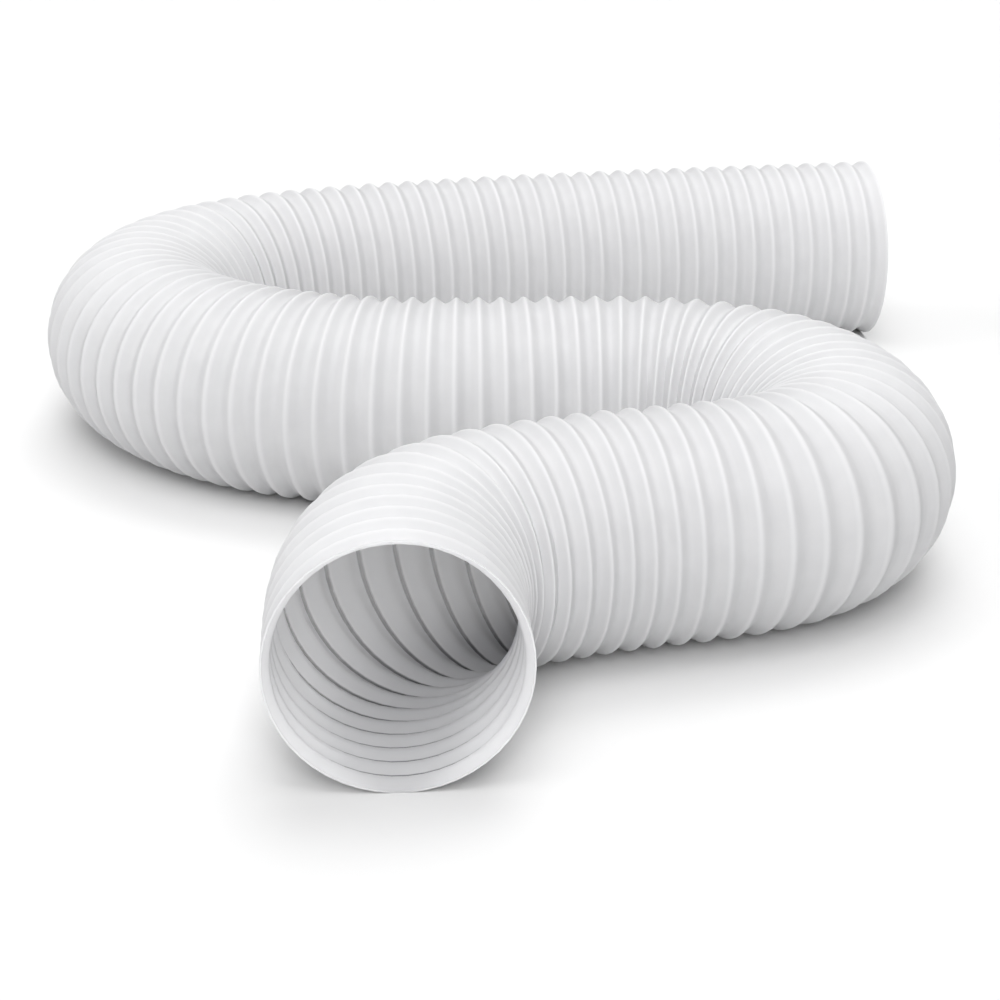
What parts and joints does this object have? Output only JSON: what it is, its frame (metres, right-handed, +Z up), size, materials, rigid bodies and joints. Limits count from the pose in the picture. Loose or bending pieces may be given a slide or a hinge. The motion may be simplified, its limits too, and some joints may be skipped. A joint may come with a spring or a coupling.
{
  "type": "air conditioner exhaust hose",
  "caption": "Flexible ridged plastic exhaust hose of 150 mm bore and 2 m length, lying in an S, open at both ends, for venting warm air.",
  "frame": {"origin": "on the floor under the middle of the hose's box", "axes": "+Z up; +X is the way that the far end opens; the near end opens towards -Y"},
  "size_m": [0.7588, 0.9688, 0.162],
  "materials": {
    "white_polypropylene": "white extruded polypropylene with a soft satin sheen"
  },
  "bodies": {
    "root": {"hose": "white_polypropylene"}
  },
  "joints": []
}
